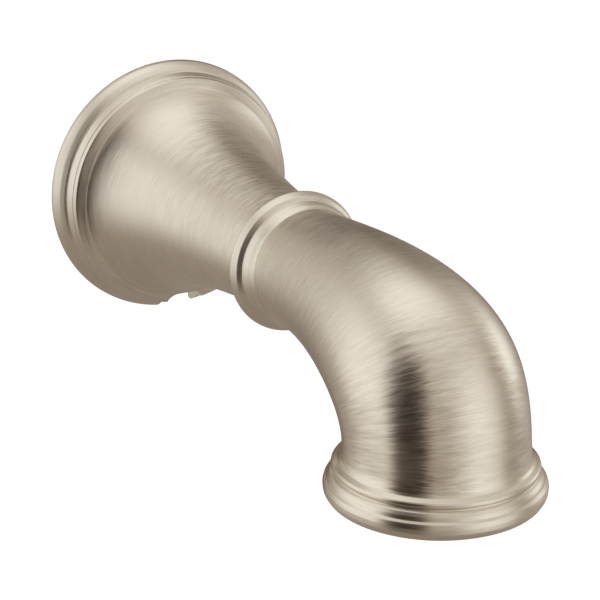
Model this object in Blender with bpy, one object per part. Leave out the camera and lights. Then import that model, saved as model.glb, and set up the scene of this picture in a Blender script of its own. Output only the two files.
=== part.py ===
"""A wall mounted bath spout that slips over a copper tube, built in metres with +Z up.

The wall is the plane Y = 0 and the spout runs out along -Y, so a distance "out" from the wall is -Y.
Every size below is in millimetres and becomes metres in the two functions that make meshes.
The outer skin is a flared bell, a beaded collar, a bent nose and a beaded outlet ring. Inside the
bell a brass hub carries the tube seals and the clamp: one set screw under a brass shoe, turned
from below through the notch in the bell's flange.
"""
import math

import bmesh
import bpy
from mathutils import Vector

MM = 0.001

# ---------------------------------------------------------------- sizes that drive the part (mm)
FLANGE_R = 38.0          # rim of the bell where it meets the wall
REACH = 154.2            # wall to the centre of the outlet
DROP = 27.8              # spout axis down to the top of the outlet ring
NECK_R = 15.4            # bell where it enters the collar
OUTLET_R = 23.6          # nose where it meets the outlet ring
TUBE_OD = 15.875         # 1/2 inch nominal copper tube
WALL = 2.2               # thickness of the bell
NOSE_WALL = 2.6          # thickness of the nose casting

# ---------------------------------------------------------------- clearances (mm)
GAP = 0.3                # between neighbouring pieces that don't move
SLIP = 0.25              # radial room round the copper tube
SEAL_W = 1.2             # half the thickness of a tube seal

OVERRUN = 5.0            # how far a cutting blank runs past what it cuts

# ---------------------------------------------------------------- bell (out from the wall)
RIM_LENGTH = 6.0         # rear bead of the flange
RIM_CREST = 2.3          # its highest point
RIM_FALL = 1.8           # how far it has dropped at its front
STEP_R = FLANGE_R - 2.5  # front band of the flange
STEP_AT = 6.3
STEP_END = 11.9          # front edge of the band
STEP_EASE = 0.4          # roll of the band's back edge
STEP_NOSE = 1.6          # roll of its front edge
ROOT_R = FLANGE_R - 4.8  # crease where the flare starts
ROOT_AT = 10.9
FLARE_PULL = 2.45        # how fast the flare falls away at first
FLARE_EASE = 0.8
FLARE_SETTLE = 3.3       # how late it settles on to the neck
FLANGE_BORE_R = FLANGE_R - 3.4
CAVITY_AT = 14.0         # where the flange's bore becomes the hollow of the flare
FLANGE_FLOOR = 9.9       # depth of the flange's bore
NOTCH_HALF = 5.8         # half width of the key notch under the flange
NOTCH_TOP = FLANGE_R - 7.2
GASKET_THICK = 2.4       # foam ring against the wall
GASKET_WIDE = 5.0
GASKET_GATE = 1.5        # how much wider than the notch the ring is cut away

# ---------------------------------------------------------------- collar and what it clamps
COLLAR_AT = 80.0         # wall to the back of the collar
COLLAR_LENGTH = 6.8
COLLAR_R = NECK_R + 4.15
BEAD_R = 1.75            # half the thickness of the collar's bead
COVE_R = NECK_R + 1.75   # floor of the hollow in front of it
LIP_R = NECK_R + 2.0     # small band in front of the hollow
RECESS = 1.3             # depth of each recess, which holds a gasket
RECESS_R = NECK_R - 0.2
RECESS_LIP = 0.25        # how far a recess stands clear of the spigot's bore
GASKET_T = 1.0
NOSE_RECESS = COLLAR_LENGTH - RECESS - 0.4   # floor the nose's gasket lies against
NECK_END = COLLAR_AT + 1.0

SPIGOT_R = NECK_R - 4.0  # threaded spigot of the nose
SPIGOT_BORE_R = SPIGOT_R - 2.2
SPIGOT_LENGTH = 24.5
SPIGOT_EDGE = 0.6        # chamfer on its end
SHOULDER_AT = COLLAR_AT - 8.5
NOSE_BACK = COLLAR_AT + NOSE_RECESS + GAP
NOSE_AT = NOSE_BACK + 0.8
NOSE_IN_R = NECK_R + 1.0
CROWN_HANDLE = 0.458     # share of the nose's length over which its top stays level
CROWN_RISE = 2.5
CROWN_SHOULDER = 1.3     # how high the top keeps its reach, as a share of the drop
THROAT_HANDLE = 0.368    # the same for the underside
THROAT_RISE = 1.7
THROAT_CORNER = (4.5, 6.6)
CHAMBER_IN = 5.5         # where the nose's chamber opens out from the spigot's bore
ROOF_LIFT = 0.2
ROOF_HANDLE = 0.47       # the chamber's roof and sill turn down a little later than the skin
ROOF_RISE = 2.6
ROOF_BACK = 2.5          # how far its corner stands back from the skin's
ROOF_IN = 12.0           # how far its corner lies below the skin's
ROOF_FOOT = 1.6
SILL_HANDLE = 0.40
SILL_UP = 7.5
LEDGE_STEP = 0.6

PIN_R = 0.9              # dowel that keys bell, collar and nose together
PIN_OFF = (SPIGOT_R + NECK_R) / 2 + 0.15
PIN_START = COLLAR_AT - 2.6
PIN_END = NOSE_AT + 2.0
PIN_EDGE = 0.2
NUT_THICK = 5.2
NUT_EDGE = 0.4
NUT_SLOT_HALF = 1.6      # half width of a spanner slot
NUT_SLOT_DEEP = 2.0
THRUST_THICK = 0.9
THRUST_GAP = 0.3         # from the washer to the bell's shoulder and to the nut

# ---------------------------------------------------------------- hub, seals and clamp
HUB_AT = 2.5
HUB_BORE_R = TUBE_OD / 2 + SLIP
GROOVE_R = HUB_BORE_R + 2 * SEAL_W
HUB_R = GROOVE_R + 1.6
HUB_EDGE = 0.7           # chamfers on the hub
TUBE_STOP = 45.0
STOP_THICK = 1.1         # fibre washer the tube ends on
HUB_END = NOSE_AT - SPIGOT_LENGTH - 4.0
HUB_SPIGOT_R = SPIGOT_BORE_R - GAP
HUB_WATER_R = min(HUB_SPIGOT_R - 2.5, HUB_BORE_R - 1.8)   # thick enough for the grooves and the stop washer
HUB_SPIGOT_END = NOSE_AT - 4.5
SEAL_GROOVE = 2 * SEAL_W + 2 * GAP
TUBE_SEALS = (26.0, 32.0)
SPIGOT_SEALS = (NOSE_AT - 16.5, NOSE_AT - 10.5)
SPIGOT_SEAL_W = 0.75
SQUEEZE = 0.15           # how far a seal stands out of its groove towards the tube
SUPPORT_AT = 37.0        # nylon spider
SUPPORT_THICK = 3.5
SUPPORT_WALL = 1.8
ARM_HALF = 1.7

SCREW_AT = HUB_AT + 6.0
SCREW_R = 3.175          # 1/4 inch set screw
SCREW_LENGTH = 8.0
SCREW_EDGE = 0.6
HEX_AF = 3.175           # 1/8 inch key
HEX_DEEP = 4.0
SHOE_HALF_X = 4.0
SHOE_HALF_Y = 3.6
SHOE_TALL = 6.0          # before its top is hollowed
SHOE_CLEAR = 0.15        # from the shoe's hollow to the hub's bore
SHOE_BASE = HUB_BORE_R + 2.5
SCREW_TIP = SHOE_BASE + GAP
BOSS_R = SCREW_R + 2.9
BOSS_END = SCREW_TIP + SCREW_LENGTH + 0.5
BOSS_TOP = HUB_BORE_R + 1.2

# ---------------------------------------------------------------- outlet (h is down from the nose end)
MOUTH_BORE_R = OUTLET_R - 3.8
SLEEVE_R = MOUTH_BORE_R - GAP
SLEEVE_IN_R = SLEEVE_R - 2.2
SLEEVE_TOP = -5.0
DISC_THICK = 2.8
DISC_EDGE = 0.3
PORT_R = 2.1             # ports of the flow disc
PORT_RINGS = ((6, 0.33), (11, 0.66))   # how many, and on what share of its radius
WASHER_THICK = 1.1
DISC_TOP = SLEEVE_TOP - GAP - DISC_THICK
WASHER_TOP = DISC_TOP - GAP - WASHER_THICK
LEDGE_AT = WASHER_TOP - GAP
LEDGE_IN = 2.8
LEDGE_R = MOUTH_BORE_R - LEDGE_IN
LEDGE_THICK = 2.0
LEDGE_BLEND = 3.6        # height over which the chamber runs into the ledge
RING_BEAD_R = OUTLET_R + 2.6
RING_R = OUTLET_R + 4.4
RING_LENGTH = 11.1
RING_STEP = 0.7          # how far the ring's top stands out from the nose
UPPER_AT = 1.7           # crest of the upper bead
VALLEY_AT = 3.1
VALLEY_R = RING_BEAD_R - 0.5
LOWER_AT = 7.6           # crest of the lower bead
LIP_EDGE = 0.6
LIP_WIDE = 2.9
MOUTH_DEEP = 7.5         # height over which the mouth flares
MOUTH_FLARE = 6.2
OUTLET_SEAL_W = 0.8
OUTLET_SEAL_R = (SLEEVE_R + OUTLET_R) / 2 + 0.1

FINE = 48                # points round the outer skin
COARSE = 30              # points round the inner pieces

NICKEL = ("brushed_nickel", (0.62, 0.56, 0.47), 0.34, 1.0)
CAST = ("cast_brass", (0.66, 0.47, 0.20), 0.45, 1.0)
BRASS = ("turned_brass", (0.78, 0.57, 0.25), 0.28, 1.0)
STEEL = ("zinc_steel", (0.60, 0.61, 0.62), 0.35, 1.0)
DARK_STEEL = ("black_oxide_steel", (0.06, 0.06, 0.065), 0.45, 1.0)
RUBBER = ("black_rubber", (0.025, 0.025, 0.027), 0.75, 0.0)
FIBRE = ("red_fibre", (0.33, 0.07, 0.05), 0.80, 0.0)
NYLON = ("natural_nylon", (0.80, 0.78, 0.70), 0.50, 0.0)
ACETAL = ("white_acetal", (0.82, 0.83, 0.82), 0.35, 0.0)
FOAM = ("grey_foam", (0.16, 0.16, 0.17), 0.95, 0.0)

AXIS = Vector((0, -1, 0))
DOWN = Vector((0, 0, -1))


# ---------------------------------------------------------------- shared builders
def clear_scene():
    for obj in list(bpy.data.objects):
        bpy.data.objects.remove(obj)


def paint(obj, finish):
    """Gives the object its own Principled material, named after the object and its finish."""
    kind, colour, roughness, metallic = finish
    material = bpy.data.materials.new(f"{obj.name}_{kind}")
    material.use_nodes = True
    shader = material.node_tree.nodes["Principled BSDF"]
    shader.inputs["Base Color"].default_value = (*colour, 1.0)
    shader.inputs["Roughness"].default_value = roughness
    shader.inputs["Metallic"].default_value = metallic
    obj.data.materials.append(material)


def add(name, bm, at, finish):
    """Turns the bmesh into an object whose origin is at the point `at`, in mm."""
    bmesh.ops.recalc_face_normals(bm, faces=bm.faces)
    mesh = bpy.data.meshes.new(name)
    bm.to_mesh(mesh)
    bm.free()
    mesh.shade_smooth()
    mesh.set_sharp_from_angle(angle=math.radians(32))
    obj = bpy.data.objects.new(name, mesh)
    obj.location = Vector(at) * MM
    bpy.context.scene.collection.objects.link(obj)
    if finish:
        paint(obj, finish)
    return obj


def circle(bm, centre, normal, radius, count):
    """A ring of vertices round `centre`, square to `normal`, which lies in the YZ plane."""
    across = Vector((1, 0, 0))
    up = normal.cross(across)
    ring = []
    for i in range(count):
        turn = 2 * math.pi * (i + 0.5) / count
        offset = across * math.cos(turn) + up * math.sin(turn)
        ring.append(bm.verts.new((centre + offset * radius) * MM))
    return ring


def loft(bm, circles, count):
    """Skins the circles in order and joins the last one to the first, so the wall closes on itself."""
    rings = [circle(bm, centre, normal, radius, count) for centre, normal, radius in circles]
    for here, there in zip(rings, rings[1:] + rings[:1]):
        for i in range(count):
            j = (i + 1) % count
            bm.faces.new((here[i], here[j], there[j], there[i]))


def turned(name, at, section, finish, count=COARSE, normal=AXIS):
    """Turns a closed section of (distance along the axis, radius) corners round the axis through `at`."""
    bm = bmesh.new()
    loft(bm, [(normal * along, normal, radius) for along, radius in section], count)
    return add(name, bm, at, finish)


def washer(name, at, thick, inner, outer, finish, count=COARSE, normal=AXIS):
    return turned(name, at, [(0, inner), (0, outer), (thick, outer), (thick, inner)], finish, count, normal)


def seal(name, at, radius, half, finish=RUBBER, count=COARSE, sides=8, normal=AXIS):
    """An O-ring of centreline `radius` and half thickness `half`."""
    turns = [2 * math.pi * i / sides for i in range(sides)]
    section = [(half * math.cos(t), radius + half * math.sin(t)) for t in turns]
    return turned(name, at, section, finish, count, normal)


def rod(name, at, length, radius, finish, count=24, normal=AXIS, chamfer=0.0):
    """A solid round bar with chamfered ends, starting at `at` and running along `normal`."""
    bm = bmesh.new()
    steps = [(0, radius - chamfer), (chamfer, radius), (length - chamfer, radius), (length, radius - chamfer)]
    if not chamfer:
        steps = [(0, radius), (length, radius)]
    rings = [circle(bm, normal * along, normal, r, count) for along, r in steps]
    for here, there in zip(rings, rings[1:]):
        for i in range(count):
            j = (i + 1) % count
            bm.faces.new((here[i], here[j], there[j], there[i]))
    bm.faces.new(rings[0])
    bm.faces.new(rings[-1])
    return add(name, bm, at, finish)


def block(name, low, high, finish=None, at=(0, 0, 0)):
    """A box between two corners given relative to `at`."""
    bm = bmesh.new()
    bmesh.ops.create_cube(bm, size=1.0)
    for vert in bm.verts:
        share = vert.co + Vector((0.5, 0.5, 0.5))
        vert.co = Vector([(a + (b - a) * k) * MM for a, b, k in zip(low, high, share)])
    return add(name, bm, at, finish)


def boolean(obj, other, operation):
    """Adds an exact Boolean and hides the other solid, which only shapes this one."""
    modifier = obj.modifiers.new(f"{operation.lower()}_{other.name}", "BOOLEAN")
    modifier.operation = operation
    modifier.solver = "EXACT"
    modifier.object = other
    other.hide_render = True
    other.display_type = "WIRE"


def arc(centre_along, centre_r, radius, first, last, steps):
    """Corners of a round bead in a section; the angles run from the axis direction, in degrees."""
    corners = []
    for i in range(steps + 1):
        turn = math.radians(first + (last - first) * i / steps)
        corners.append((centre_along + radius * math.cos(turn), centre_r + radius * math.sin(turn)))
    return corners


# ---------------------------------------------------------------- bell
def flare(out):
    """Outer radius of the bell at a distance out from the wall, between its crease and its neck."""
    share = min(max((out - ROOT_AT) / (COLLAR_AT - ROOT_AT), 0.0), 1.0)
    fade = math.exp(-FLARE_PULL * share ** FLARE_EASE) * (1 - share ** FLARE_SETTLE)
    return NECK_R + (ROOT_R - NECK_R) * fade


def flare_stations(first, last, count):
    """Distances out from the wall, closer together where the flare is steep."""
    return [first + (last - first) * (i / count) ** 1.7 for i in range(count + 1)]


def bell_cavity(out):
    """Inner radius of the bell, a wall thickness in from the flare measured square to the surface."""
    slope = (flare(out + 0.5) - flare(out)) / 0.5
    return flare(out) - WALL * math.sqrt(1 + slope * slope)


def rim_bead(out):
    """Outer radius of the rear bead, which falls as the cube of the distance from its crest."""
    share = abs(out - RIM_CREST) / (RIM_LENGTH - RIM_CREST)
    return FLANGE_R - RIM_FALL * share ** 3


def build_bell():
    """One spun shell: flange bead, front band, crease, flare and neck, then back along its inside."""
    rim = [(out, rim_bead(out)) for out in (RIM_LENGTH * i / 6 for i in range(7))]
    step = [(STEP_AT, STEP_R - STEP_EASE), (STEP_AT + 2 * STEP_EASE, STEP_R),
            (STEP_END - 0.5 * STEP_NOSE, STEP_R), (STEP_END, STEP_R - STEP_NOSE)]
    crease = [(STEP_END - 0.5, ROOT_R + 0.1)]
    stations = flare_stations(STEP_END - 0.2, COLLAR_AT - 2, 12)
    outside = [(out, flare(out)) for out in stations] + [(NECK_END, NECK_R)]
    neck = [(NECK_END, SPIGOT_R + GAP), (SHOULDER_AT, SPIGOT_R + GAP)]
    inner = [SHOULDER_AT - (SHOULDER_AT - CAVITY_AT) * (i / 8) for i in range(9)]
    cavity = [(out, bell_cavity(out)) for out in inner]
    flange = [(FLANGE_FLOOR, ROOT_R - WALL), (FLANGE_FLOOR - 1.2, FLANGE_BORE_R), (0, FLANGE_BORE_R)]
    section = rim + step + crease + outside + neck + cavity + flange
    bell = turned("bell", (0, 0, 0), section, NICKEL, FINE)
    low = (-NOTCH_HALF, -STEP_END - OVERRUN, -FLANGE_R - OVERRUN)
    notch = block("notch_cutter", low, (NOTCH_HALF, OVERRUN, -NOTCH_TOP))
    boolean(bell, notch, "DIFFERENCE")
    return bell


def dowel_hole(name, first, last):
    """The blank that drills the dowel's hole between two distances out from the wall."""
    return rod(name, (0, -first, PIN_OFF), last - first, PIN_R + GAP, None, 12)


# ---------------------------------------------------------------- nose
def cubic(corners, share):
    """Point of a cubic curve with four (out, up) corners."""
    rest = 1 - share
    weights = (rest ** 3, 3 * rest ** 2 * share, 3 * rest * share ** 2, share ** 3)
    return [sum(weight * corner[k] for weight, corner in zip(weights, corners)) for k in (0, 1)]


def hoop(crown, throat, share):
    """The circle that spans the crown curve above and the throat curve below at one share of their length."""
    top_out, top_up = cubic(crown, share)
    low_out, low_up = cubic(throat, share)
    high = Vector((0, -top_out, top_up))
    low = Vector((0, -low_out, low_up))
    across = (high - low).normalized()
    heading = Vector((0, -across.z, across.y))
    return (high + low) / 2, heading, (high - low).length / 2


def build_nose():
    """The bent casting, its threaded spigot behind and its seat for the outlet ring below."""
    span = REACH - NOSE_AT
    fall = DROP + NOSE_IN_R
    shoulder = CROWN_SHOULDER * fall - DROP
    crown = [(NOSE_AT, NOSE_IN_R), (NOSE_AT + CROWN_HANDLE * span, NOSE_IN_R + CROWN_RISE),
             (REACH + OUTLET_R, shoulder), (REACH + OUTLET_R, -DROP)]
    heel_out, heel_up = THROAT_CORNER
    throat = [(NOSE_AT, -NOSE_IN_R), (NOSE_AT + THROAT_HANDLE * span, -NOSE_IN_R + THROAT_RISE),
              (REACH - OUTLET_R + heel_out, -DROP + heel_up), (REACH - OUTLET_R, -DROP)]
    outside = [hoop(crown, throat, i / 16) for i in range(16, -1, -1)]
    spigot_end = NOSE_AT - SPIGOT_LENGTH
    spigot = [(NOSE_BACK, NOSE_IN_R - 0.1), (NOSE_BACK, SPIGOT_R), (spigot_end + SPIGOT_EDGE, SPIGOT_R),
              (spigot_end, SPIGOT_R - SPIGOT_EDGE), (spigot_end, SPIGOT_BORE_R),
              (NOSE_AT + NOSE_WALL, SPIGOT_BORE_R)]
    back = [(AXIS * along, AXIS, radius) for along, radius in spigot]
    start = NOSE_AT + CHAMBER_IN
    bore = NOSE_IN_R - NOSE_WALL
    floor = LEDGE_AT - LEDGE_BLEND
    roof = [(start, bore + ROOF_LIFT), (NOSE_AT + ROOF_HANDLE * span, bore + ROOF_RISE),
            (REACH + OUTLET_R - NOSE_WALL - ROOF_BACK, shoulder - ROOF_IN),
            (REACH + OUTLET_R - NOSE_WALL - ROOF_FOOT, -DROP - floor)]
    sill = [(start, -bore), (NOSE_AT + SILL_HANDLE * span, -bore + THROAT_RISE),
            (REACH - OUTLET_R, -DROP + SILL_UP), (REACH - LEDGE_R - LEDGE_STEP, -DROP - floor)]
    inside = [hoop(roof, sill, i / 12) for i in range(13)]
    top = Vector((0, -REACH, -DROP))
    seat = [(LEDGE_AT - LEDGE_THICK, LEDGE_R), (LEDGE_AT, LEDGE_R), (LEDGE_AT, MOUTH_BORE_R), (0, MOUTH_BORE_R)]
    mouth = [(top + DOWN * h, DOWN, radius) for h, radius in seat]
    bm = bmesh.new()
    origin = AXIS * NOSE_AT
    circles = outside + back + inside + mouth
    loft(bm, [(centre - origin, normal, radius) for centre, normal, radius in circles], FINE)
    return add("nose", bm, origin, NICKEL)


# ---------------------------------------------------------------- collar
def build_collar():
    """The beaded ring between bell and nose. A recess at each end takes a gasket and its neighbour's end."""
    bead = arc(BEAD_R, COLLAR_R - BEAD_R, BEAD_R, 165, 5, 6)
    cove = [(2 * BEAD_R + 0.25, LIP_R), (2 * BEAD_R + 1.0, COVE_R), (2 * BEAD_R + 1.7, LIP_R),
            (COLLAR_LENGTH - 0.8, LIP_R), (COLLAR_LENGTH, LIP_R - 0.5)]
    bore = SPIGOT_R + GAP
    ledge = bore + RECESS_LIP
    floor = NOSE_RECESS
    front = [(COLLAR_LENGTH, NOSE_IN_R + GAP), (floor, NOSE_IN_R + GAP), (floor, RECESS_R),
             (floor - RECESS, RECESS_R), (floor - RECESS, ledge), (floor, ledge), (floor, bore)]
    rear = [(RECESS, bore), (RECESS, ledge), (2 * RECESS, ledge), (2 * RECESS, RECESS_R),
            (RECESS, RECESS_R), (RECESS, NECK_R + GAP), (0, NECK_R + GAP)]
    section = bead + cove + front + rear
    collar = turned("collar_ring", (0, -COLLAR_AT, 0), section, NICKEL, FINE)
    drill = dowel_hole("collar_drill", COLLAR_AT - OVERRUN, COLLAR_AT + COLLAR_LENGTH + OVERRUN)
    boolean(collar, drill, "DIFFERENCE")


def build_gaskets():
    """Flat fibre rings in the two recesses of the collar, each drilled for the dowel."""
    places = {"neck_gasket": COLLAR_AT + RECESS, "collar_gasket": COLLAR_AT + NOSE_RECESS - GASKET_T}
    inner = SPIGOT_R + 2 * GAP + RECESS_LIP
    for name, at in places.items():
        gasket = washer(name, (0, -at, 0), GASKET_T, inner, RECESS_R - GAP, FIBRE)
        boolean(gasket, dowel_hole(f"{name}_drill", at - OVERRUN, at + OVERRUN), "DIFFERENCE")


# ---------------------------------------------------------------- outlet
def build_outlet():
    """The beaded ring round the outlet, whose sleeve holds the flow disc up, with its seal and washer."""
    top = (0, -REACH, -DROP)
    groove_in = OUTLET_SEAL_R - OUTLET_SEAL_W - GAP
    groove_out = OUTLET_SEAL_R + OUTLET_SEAL_W + GAP
    depth = 2 * (OUTLET_SEAL_W + GAP)
    sleeve = [(GAP, groove_in), (GAP, SLEEVE_R), (SLEEVE_TOP, SLEEVE_R), (SLEEVE_TOP, SLEEVE_IN_R)]
    mouth = [(VALLEY_AT, SLEEVE_IN_R)]
    for share in (0.4, 0.75, 1):
        mouth.append((VALLEY_AT + MOUTH_DEEP * share, SLEEVE_IN_R + MOUTH_FLARE * share ** 2))
    mouth.append((RING_LENGTH, RING_R - LIP_WIDE))
    lower = [(RING_LENGTH - LIP_EDGE, RING_R - 2 * LIP_EDGE), (LOWER_AT + 1.6, RING_R - 0.2),
             (LOWER_AT, RING_R), (LOWER_AT - 2.0, RING_R - 0.5), (VALLEY_AT + 1.0, RING_R - 1.6),
             (VALLEY_AT, VALLEY_R)]
    upper = [(UPPER_AT + 0.9, RING_BEAD_R - 0.1), (UPPER_AT, RING_BEAD_R), (UPPER_AT - 0.9, RING_BEAD_R - 0.7),
             (GAP, OUTLET_R + RING_STEP)]
    groove = [(GAP, groove_out), (depth, groove_out), (depth, groove_in)]
    section = sleeve + mouth + lower + upper + groove
    turned("outlet_ring", top, section, NICKEL, FINE, DOWN)
    seal("outlet_seal", (0, -REACH, -DROP - OUTLET_SEAL_W - GAP), OUTLET_SEAL_R, OUTLET_SEAL_W, normal=DOWN)
    washer("outlet_washer", (0, -REACH, -DROP - WASHER_TOP), WASHER_THICK, LEDGE_R + GAP,
           MOUTH_BORE_R - GAP, RUBBER, normal=DOWN)


def build_flow_disc():
    """A flat disc pierced by a ring of round ports about a middle one, which straightens the stream."""
    radius = MOUTH_BORE_R - GAP
    at = Vector((0, -REACH, -DROP - DISC_TOP))
    disc = rod("flow_disc", at, DISC_THICK, radius, ACETAL, 40, DOWN, DISC_EDGE)
    spots = [(0.0, 0.0)]
    for count, share in PORT_RINGS:
        for i in range(count):
            turn = 2 * math.pi * i / count
            spots.append((radius * share * math.cos(turn), radius * share * math.sin(turn)))
    bm = bmesh.new()
    for x, y in spots:
        corners = []
        for level in (OVERRUN, -DISC_THICK - OVERRUN):
            ring = []
            for i in range(10):
                turn = 2 * math.pi * i / 10
                spot = Vector((x + PORT_R * math.cos(turn), y + PORT_R * math.sin(turn), level))
                ring.append(bm.verts.new(spot * MM))
            corners.append(ring)
        bm.faces.new(corners[0])
        bm.faces.new(corners[1])
        for i in range(10):
            j = (i + 1) % 10
            bm.faces.new((corners[0][i], corners[0][j], corners[1][j], corners[1][i]))
    boolean(disc, add("port_cutter", bm, at, None), "DIFFERENCE")


# ---------------------------------------------------------------- hub and clamp
def groove(centre, width, floor, surface):
    """Four corners of a square groove in a section."""
    half = width / 2
    return [(centre - half, surface), (centre - half, floor), (centre + half, floor), (centre + half, surface)]


def build_hub():
    """The brass inlet: clamp boss behind, tube socket with two seals, then a sealed spigot in the nose."""
    outside = [(HUB_AT, HUB_R - HUB_EDGE), (HUB_AT + HUB_EDGE, HUB_R), (HUB_END - HUB_EDGE, HUB_R),
               (HUB_END, HUB_R - HUB_EDGE), (HUB_END, HUB_SPIGOT_R)]
    for centre in SPIGOT_SEALS:
        outside += groove(centre, 2 * (SPIGOT_SEAL_W + GAP), HUB_SPIGOT_R - 2 * SPIGOT_SEAL_W, HUB_SPIGOT_R)
    outside += [(HUB_SPIGOT_END - HUB_EDGE, HUB_SPIGOT_R), (HUB_SPIGOT_END, HUB_SPIGOT_R - HUB_EDGE)]
    stop = TUBE_STOP + STOP_THICK + GAP
    inside = [(HUB_SPIGOT_END, HUB_WATER_R), (stop, HUB_WATER_R), (stop, HUB_BORE_R)]
    for centre in reversed(TUBE_SEALS):
        inside += reversed(groove(centre, SEAL_GROOVE, GROOVE_R + GAP, HUB_BORE_R))
    inside += [(HUB_AT + HUB_EDGE, HUB_BORE_R), (HUB_AT, HUB_BORE_R + HUB_EDGE)]
    section = [(along - HUB_AT, radius) for along, radius in outside + inside]
    hub = turned("inlet_hub", (0, -HUB_AT, 0), section, CAST)
    boss = rod("boss_blank", (0, -SCREW_AT, -BOSS_TOP), BOSS_END - BOSS_TOP, BOSS_R, None, 28, DOWN)
    pocket = block("pocket_cutter", (-SHOE_HALF_X - GAP, -SHOE_HALF_Y - GAP, -SHOE_BASE - 2 * GAP),
                   (SHOE_HALF_X + GAP, SHOE_HALF_Y + GAP, -HUB_BORE_R / 2), None, (0, -SCREW_AT, 0))
    drill = rod("screw_drill", (0, -SCREW_AT, -HUB_BORE_R / 2), BOSS_END, SCREW_R + GAP, None, 28, DOWN)
    boolean(hub, boss, "UNION")
    boolean(hub, pocket, "DIFFERENCE")
    boolean(hub, drill, "DIFFERENCE")


def build_clamp():
    """The shoe, hollowed on top to the tube's curve, and the set screw that pushes it up."""
    shoe = block("clamp_shoe", (-SHOE_HALF_X, -SHOE_HALF_Y, 0), (SHOE_HALF_X, SHOE_HALF_Y, SHOE_TALL), BRASS,
                 (0, -SCREW_AT, -SHOE_BASE))
    length = 2 * (SHOE_HALF_Y + OVERRUN)
    hollow = rod("shoe_cutter", (0, length / 2 - SCREW_AT, 0), length, HUB_BORE_R + SHOE_CLEAR, None, 48)
    boolean(shoe, hollow, "DIFFERENCE")
    at = (0, -SCREW_AT, -SCREW_TIP)
    screw = rod("set_screw", at, SCREW_LENGTH, SCREW_R, DARK_STEEL, 24, DOWN, SCREW_EDGE)
    floor = SCREW_TIP + SCREW_LENGTH - HEX_DEEP
    key = rod("hex_cutter", (0, -SCREW_AT, -floor), HEX_DEEP + OVERRUN, HEX_AF / math.sqrt(3), None, 6, DOWN)
    boolean(screw, key, "DIFFERENCE")


def build_seals():
    """Two O-rings on the tube, two on the hub's spigot, and the washer the tube ends on."""
    places = zip(("tube_seal_rear", "tube_seal_front"), TUBE_SEALS)
    for name, at in places:
        seal(name, (0, -at, 0), HUB_BORE_R + SEAL_W - SQUEEZE, SEAL_W)
    places = zip(("spigot_seal_rear", "spigot_seal_front"), SPIGOT_SEALS)
    for name, at in places:
        seal(name, (0, -at, 0), HUB_SPIGOT_R - SPIGOT_SEAL_W / 2, SPIGOT_SEAL_W - 0.1)
    washer("stop_washer", (0, -TUBE_STOP, 0), STOP_THICK, HUB_WATER_R + GAP, HUB_BORE_R - GAP, FIBRE)


def build_nut():
    """The spanner nut and its washer, which pull the nose back against the collar and the bell."""
    outer = bell_cavity(SHOULDER_AT) - GAP
    washer_at = SHOULDER_AT - THRUST_GAP - THRUST_THICK
    washer("thrust_washer", (0, -washer_at, 0), THRUST_THICK, SPIGOT_R + GAP, outer, STEEL)
    at = washer_at - THRUST_GAP - NUT_THICK
    ring = [(0, SPIGOT_R + GAP), (0, outer - NUT_EDGE), (NUT_EDGE, outer), (NUT_THICK, outer),
            (NUT_THICK, SPIGOT_R + GAP)]
    nut = turned("spanner_nut", (0, -at, 0), ring, BRASS)
    bm = bmesh.new()
    for i in range(4):
        turn = math.pi / 4 + math.pi / 2 * i
        middle = Vector((math.cos(turn), 0, math.sin(turn))) * outer
        side = Vector((-math.sin(turn), 0, math.cos(turn)))
        out = Vector((math.cos(turn), 0, math.sin(turn)))
        corners = []
        for a in (-NUT_SLOT_HALF, NUT_SLOT_HALF):
            for b in (-OVERRUN, OVERRUN):
                for c in (OVERRUN, -NUT_SLOT_DEEP):
                    corners.append(bm.verts.new((middle + side * a + out * b + Vector((0, c, 0))) * MM))
        for quad in ((0, 1, 3, 2), (4, 6, 7, 5), (0, 4, 5, 1), (2, 3, 7, 6), (0, 2, 6, 4), (1, 5, 7, 3)):
            bm.faces.new([corners[k] for k in quad])
    boolean(nut, add("slot_cutter", bm, (0, -at, 0), None), "DIFFERENCE")


def build_support():
    """A nylon spider that keeps the hub centred in the bell."""
    inner = HUB_R + GAP
    reach = bell_cavity(SUPPORT_AT + SUPPORT_THICK) - GAP
    spider = washer("hub_support", (0, -SUPPORT_AT, 0), SUPPORT_THICK, inner, inner + SUPPORT_WALL, NYLON)
    for i in range(3):
        low = (-ARM_HALF, -SUPPORT_THICK, inner + SUPPORT_WALL / 3)
        arm = block(f"arm_blank_{i}", low, (ARM_HALF, 0, reach), None, (0, -SUPPORT_AT, 0))
        arm.rotation_euler = (0, math.radians(120 * i), 0)
        boolean(spider, arm, "UNION")


def build_wall_gasket():
    """A foam ring inside the flange, open at the bottom for the key."""
    outer = FLANGE_BORE_R - GAP
    ring = washer("wall_gasket", (0, 0, 0), GASKET_THICK, outer - GASKET_WIDE, outer, FOAM, FINE)
    cut = NOTCH_HALF + GASKET_GATE
    low = (-cut, -GASKET_THICK - OVERRUN, -FLANGE_R - OVERRUN)
    gate = block("gasket_cutter", low, (cut, OVERRUN, GASKET_WIDE + OVERRUN - outer))
    boolean(ring, gate, "DIFFERENCE")


def build_dowel(bell, nose):
    """The steel dowel, and its blind holes in the bell's neck and the nose."""
    length = PIN_END - PIN_START - 2 * GAP
    rod("index_pin", (0, -PIN_START - GAP, PIN_OFF), length, PIN_R, STEEL, 12, AXIS, PIN_EDGE)
    boolean(bell, dowel_hole("bell_drill", PIN_START, NECK_END + OVERRUN), "DIFFERENCE")
    boolean(nose, dowel_hole("nose_drill", NOSE_BACK - OVERRUN, PIN_END), "DIFFERENCE")


clear_scene()
the_bell = build_bell()
build_collar()
the_nose = build_nose()
build_gaskets()
build_outlet()
build_flow_disc()
build_hub()
build_clamp()
build_seals()
build_nut()
build_support()
build_wall_gasket()
build_dowel(the_bell, the_nose)
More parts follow.
